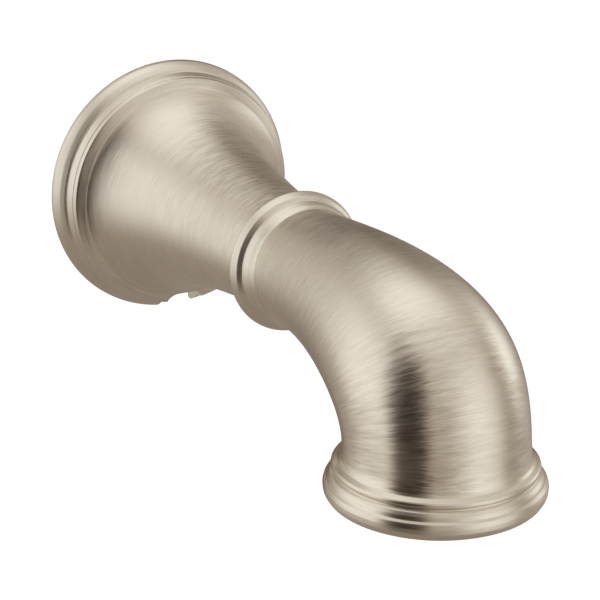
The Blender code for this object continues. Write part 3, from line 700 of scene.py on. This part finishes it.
def brushed_nickel(name, radius, seed, sway=0.13, contrast=1.0,
                   roughness=0.30, length=0.0042, width=0.00017):
    """Brushed nickel round a piece of about that radius. Lengths are in metres.

    The normal leans by sway * (line - 0.5) each way, and contrast is that of the colour.
    """
    material, tree, shader = new_material(name)
    lines = node(tree, "ShaderNodeGroup", node_tree=HAIRLINES, Radius=radius, Seed=seed,
                 Length=length, Width=width)
    mixed = maths(tree, "ADD", maths(tree, "MULTIPLY", lines.outputs["Lines"], FINE_SHARE),
                  maths(tree, "MULTIPLY", lines.outputs["Coarse"], 1 - FINE_SHARE))
    shade = ramp(tree, mixed, 0.5 - 0.1 / contrast, 0.5 + 0.1 / contrast, 0.0, 1.0)
    colour = blend_colours(tree, shade, NICKEL_DARK, NICKEL_LIGHT)
    polish = maths(tree, "SUBTRACT", lines.outputs["Cloud"], 0.5)
    rough = maths(tree, "ADD",
                  ramp(tree, mixed, 0.3, 0.7, roughness - POLISH_SPREAD, roughness + POLISH_SPREAD),
                  maths(tree, "MULTIPLY", polish, CLOUD_SPREAD))
    lean = node(tree, "ShaderNodeCombineColor", Blue=1.0)
    for source, socket in (("Lines", "Red"), ("Coarse", "Green")):
        tilt = maths(tree, "MULTIPLY", maths(tree, "SUBTRACT", lines.outputs[source], 0.5), sway)
        wire(tree, (maths(tree, "ADD", tilt, 0.5), lean.inputs[socket]))
    normal = node(tree, "ShaderNodeNormalMap", space="TANGENT", uv_map=FINISH_MAP, Strength=1.0)
    tangent = node(tree, "ShaderNodeTangent", direction_type="UV_MAP", uv_map=FINISH_MAP)
    wire(tree, (lean.outputs[0], normal.inputs["Color"]),
         (normal.outputs[0], shader.inputs["Normal"]),
         (colour, shader.inputs["Base Color"]), (rough, shader.inputs["Roughness"]),
         (tangent.outputs[0], shader.inputs["Tangent"]))
    shader.inputs["Metallic"].default_value = 1.0
    shader.inputs["Anisotropic"].default_value = 0.75
    shader.inputs["Anisotropic Rotation"].default_value = 0.25
    return material


def dress(obj, material, node_name, body="spout"):
    """Gives the piece its material and body, and hides the model's node that it stands for."""
    obj.data.materials.clear()
    obj.data.materials.append(material)
    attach(obj, body)
    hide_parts(node_name)


dress(bell, brushed_nickel("nickel_bell", 0.022, 1.0, sway=0.1, contrast=0.8), "bell")
dress(nose, brushed_nickel("nickel_nose", 0.020, 2.0), "nose")
dress(collar, brushed_nickel("nickel_collar", 0.019, 3.0, sway=0.06, contrast=0.6), "collar_ring")
dress(outlet, brushed_nickel("nickel_outlet", 0.027, 4.0, sway=0.06, contrast=0.6), "outlet_ring")
print("dressed:", [obj.name for obj in (bell, nose, collar, outlet)])

# %% [markdown]
# ## The pieces inside
# Behind the bell the model's own pieces show: a brass hub, its clamp screw and shoe, rubber rings,
# fibre washers and a foam gasket. They carry no map, so their grain is read at the object's own
# coordinates: fine specks, a slow cloud, and rings that a lathe leaves, which vary only along Y.

# %% Grain group
def grain_group():
    """Specks and cloud are noises of the place in metres; rings is a noise of Y / pitch alone."""
    tree, given, made = new_group(
        "grain",
        [("Size", 0.0004), ("Pitch", 0.00025), ("Seed", 0.0)],
        ["Specks", "Cloud", "Rings"],
    )
    place = node(tree, "ShaderNodeTexCoord").outputs["Object"]
    split = node(tree, "ShaderNodeSeparateXYZ")
    specks = noise_4d(tree, place, given["Seed"], Detail=4.0, Roughness=0.65)
    cloud = noise_4d(tree, place, given["Seed"], Scale=110.0, Detail=3.0)
    rings = node(tree, "ShaderNodeTexNoise", noise_dimensions="1D", Scale=1.0, Detail=2.0)
    wire(tree, (place, split.inputs[0]),
         (maths(tree, "DIVIDE", 1.0, given["Size"]), specks.inputs["Scale"]),
         (maths(tree, "DIVIDE", split.outputs["Y"], given["Pitch"]), rings.inputs["W"]),
         (specks.outputs["Fac"], made["Specks"]), (cloud.outputs["Fac"], made["Cloud"]),
         (rings.outputs["Fac"], made["Rings"]))
    return tree


GRAIN = grain_group()
print("grain:", len(GRAIN.nodes), "nodes")

# %% [markdown]
# One recipe serves every stuff: two colours, a roughness, and how much of the mark is lathe rings.
# Cast brass is dull and coarse, turned brass bright and ringed, rubber nearly black and plain.

# %% Plain materials
ROUGH_SPREAD = 0.08


def grained(name, dark, light, roughness, size, relief, metallic=0.0, rings=0.0, seed=0.0):
    """A material whose marks are (1 - rings) of specks and the rest lathe rings.

    Colour runs from dark to light with the mean of marks and cloud. Marks move the roughness and
    stand up by relief. Size and relief are in metres.
    """
    material, tree, shader = new_material(name)
    grain = node(tree, "ShaderNodeGroup", node_tree=GRAIN, Size=size, Seed=seed)
    marks = maths(tree, "ADD", maths(tree, "MULTIPLY", grain.outputs["Specks"], 1.0 - rings),
                  maths(tree, "MULTIPLY", grain.outputs["Rings"], rings))
    mixed = maths(tree, "MULTIPLY", maths(tree, "ADD", marks, grain.outputs["Cloud"]), 0.5)
    colour = blend_colours(tree, ramp(tree, mixed, 0.38, 0.62, 0.0, 1.0), dark, light)
    rough = ramp(tree, marks, 0.3, 0.7, roughness - ROUGH_SPREAD, roughness + ROUGH_SPREAD)
    bump = node(tree, "ShaderNodeBump", Strength=1.0, Distance=relief)
    wire(tree, (colour, shader.inputs["Base Color"]), (rough, shader.inputs["Roughness"]),
         (marks, bump.inputs["Height"]), (bump.outputs[0], shader.inputs["Normal"]))
    shader.inputs["Metallic"].default_value = metallic
    return material


cast_brass = grained("cast_brass", (0.50, 0.33, 0.13), (0.74, 0.54, 0.26), 0.42,
                     0.0007, 0.00006, metallic=1.0, rings=0.3, seed=1.0)
turned_brass = grained("turned_brass", (0.68, 0.47, 0.19), (0.86, 0.65, 0.33), 0.27,
                       0.0004, 0.00001, metallic=1.0, rings=0.8, seed=2.0)
zinc_steel = grained("zinc_steel", (0.46, 0.48, 0.50), (0.68, 0.70, 0.72), 0.33,
                     0.0010, 0.00001, metallic=1.0, seed=3.0)
black_oxide = grained("black_oxide", (0.035, 0.036, 0.04), (0.085, 0.085, 0.09), 0.45,
                      0.0003, 0.00001, metallic=0.85, seed=4.0)
nitrile = grained("nitrile", (0.016, 0.016, 0.018), (0.036, 0.036, 0.038), 0.48,
                  0.0005, 0.00002, seed=5.0)
red_fibre = grained("red_fibre", (0.24, 0.045, 0.03), (0.40, 0.10, 0.065), 0.78,
                    0.0006, 0.00005, seed=6.0)
nylon = grained("natural_nylon", (0.72, 0.70, 0.62), (0.84, 0.83, 0.76), 0.52,
                0.0012, 0.00002, seed=7.0)
acetal = grained("white_acetal", (0.76, 0.77, 0.76), (0.86, 0.87, 0.86), 0.30,
                 0.0012, 0.00001, seed=8.0)
foam = grained("closed_foam", (0.075, 0.075, 0.08), (0.20, 0.20, 0.21), 0.86,
               0.0011, 0.00022, seed=9.0)

# %% [markdown]
# Each of the model's own pieces that still shows gets the stuff that it is made of.

# %% Dress the model's own pieces
MADE_OF = {
    cast_brass: ["inlet_hub"],
    turned_brass: ["spanner_nut", "clamp_shoe"],
    zinc_steel: ["thrust_washer", "index_pin"],
    black_oxide: ["set_screw"],
    nitrile: ["tube_seal_rear", "tube_seal_front", "spigot_seal_rear", "spigot_seal_front",
              "outlet_seal", "outlet_washer"],
    red_fibre: ["stop_washer", "neck_gasket", "collar_gasket"],
    nylon: ["hub_support"],
    acetal: ["flow_disc"],
    foam: ["wall_gasket"],
}
for material, names in MADE_OF.items():
    for name in names:
        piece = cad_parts[name]
        piece.data.materials.clear()
        piece.data.materials.append(material)
others = set(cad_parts) - {name for names in MADE_OF.values() for name in names}
print("pieces drawn anew above:", sorted(others))

# %% [markdown]
# ## The studio
# Brushed metal shows little but what stands round it, so the studio is painted on the world: a pale
# backdrop with soft cards in it. Each card is a patch of azimuth and elevation with feathered
# edges, laid over what is behind it. Azimuth 0 is straight out from the wall and turns towards +X.

# %% Studio cards
BACKDROP = [(-60, 0.34), (20, 0.55), (85, 0.86)]     # elevation in degrees, brightness
CARDS = [
    # azimuth, width, feather, lowest, highest, feather (degrees), brightness
    (-112, 66, 34, -20, 46, 42, 1.10),
    (-62, 44, 18, -34, 54, 34, 0.02),
    (25, 52, 50, -36, 38, 24, 1.06),
    (72, 24, 24, -60, 34, 24, 0.44),
    (97, 28, 24, -4, 26, 26, 1.25),
    (158, 56, 24, -30, 44, 28, 0.17),
    (180, 150, 60, 56, 118, 26, 1.25),
]
GREEN_POWER, BLUE_POWER = 1.13, 1.24


def soft_band(tree, value, centre, width, feather, wrap=False):
    """1 within width / 2 of the centre, falling smoothly to 0 over the feather. All in degrees."""
    centre, width, feather = (math.radians(angle) for angle in (centre, width, feather))
    away = maths(tree, "SUBTRACT", value, centre)
    if wrap:
        away = maths(tree, "WRAP", away, math.pi, -math.pi)
    away = maths(tree, "ABSOLUTE", away)
    made = node(tree, "ShaderNodeMapRange", interpolation_type="SMOOTHSTEP", To_Min=0.0, To_Max=1.0,
                From_Min=width / 2 + feather / 2, From_Max=width / 2 - feather / 2)
    tree.links.new(away, made.inputs["Value"])
    return made.outputs["Result"]


def backdrop_light(tree, elevation):
    """Brightness of the backdrop: straight from stop to stop, and level beyond both ends."""
    (floor_at, floor), (eye_at, eye), (top_at, top) = BACKDROP
    floor_at, eye_at, top_at = (math.radians(at) for at in (floor_at, eye_at, top_at))
    low = ramp(tree, elevation, floor_at, eye_at, floor, eye)
    return maths(tree, "ADD", low, ramp(tree, elevation, eye_at, top_at, 0.0, top - eye))


def paint_studio():
    """World = backdrop by elevation, with every card laid over it; the camera sees plain white.

    A brightness b becomes the colour (b, b ^ 1.13, b ^ 1.24), so that what is dim is warm as well.
    """
    world = bpy.data.worlds.new("studio")
    world.use_nodes = True
    tree = world.node_tree
    tree.nodes.clear()
    place = node(tree, "ShaderNodeTexCoord")
    split = node(tree, "ShaderNodeSeparateXYZ")
    wire(tree, (place.outputs["Generated"], split.inputs[0]))
    out = maths(tree, "MULTIPLY", split.outputs["Y"], -1.0)
    azimuth = maths(tree, "ARCTAN2", split.outputs["X"], out)
    elevation = maths(tree, "ARCSINE", split.outputs["Z"])
    light = backdrop_light(tree, elevation)
    for at, width, side_feather, lowest, highest, end_feather, brightness in CARDS:
        across = soft_band(tree, azimuth, at, width, side_feather, wrap=True)
        tall = soft_band(tree, elevation, (lowest + highest) / 2, highest - lowest, end_feather)
        mask = maths(tree, "MULTIPLY", across, tall)
        rest = maths(tree, "MULTIPLY", light, maths(tree, "SUBTRACT", 1.0, mask))
        light = maths(tree, "ADD", rest, maths(tree, "MULTIPLY", mask, brightness))
    warm = node(tree, "ShaderNodeCombineColor")
    studio = node(tree, "ShaderNodeBackground")
    plain = node(tree, "ShaderNodeBackground", Color=(1.0, 1.0, 1.0, 1.0))
    seen = node(tree, "ShaderNodeLightPath")
    either = node(tree, "ShaderNodeMixShader")
    output = node(tree, "ShaderNodeOutputWorld")
    wire(tree, (light, warm.inputs[0]), (maths(tree, "POWER", light, GREEN_POWER), warm.inputs[1]),
         (maths(tree, "POWER", light, BLUE_POWER), warm.inputs[2]),
         (warm.outputs[0], studio.inputs["Color"]),
         (seen.outputs["Is Camera Ray"], either.inputs[0]),
         (studio.outputs[0], either.inputs[1]), (plain.outputs[0], either.inputs[2]),
         (either.outputs[0], output.inputs["Surface"]))
    bpy.context.scene.world = world
    print("studio:", len(CARDS), "cards")


paint_studio()

# %% [markdown]
# The floor lies far below. The metal doesn't mirror it, because the backdrop already dims below the
# horizon.

# %% Floor
FLOOR_HALF = 8.0
FLOOR_AT = -1.5


def lay_floor():
    """A plain pale floor, as far below the spout as a bathroom's, out of the metal's sight."""
    square = [(-1, -1), (1, -1), (1, 1), (-1, 1)]
    corners = [(x * FLOOR_HALF, y * FLOOR_HALF, FLOOR_AT) for x, y in square]
    mesh = bpy.data.meshes.new("floor")
    mesh.from_pydata(corners, [], [(0, 1, 2, 3)])
    floor = bpy.data.objects.new("floor", mesh)
    bpy.context.scene.collection.objects.link(floor)
    material, _, shader = new_material("pale_floor")
    shader.inputs["Base Color"].default_value = (0.9, 0.9, 0.9, 1.0)
    shader.inputs["Emission Color"].default_value = (1.0, 1.0, 1.0, 1.0)
    shader.inputs["Emission Strength"].default_value = 0.5
    floor.data.materials.append(material)
    floor.visible_glossy = False
    floor.visible_diffuse = False
    print("floor at", FLOOR_AT)


lay_floor()
bpy.context.scene.view_settings.view_transform = "Standard"
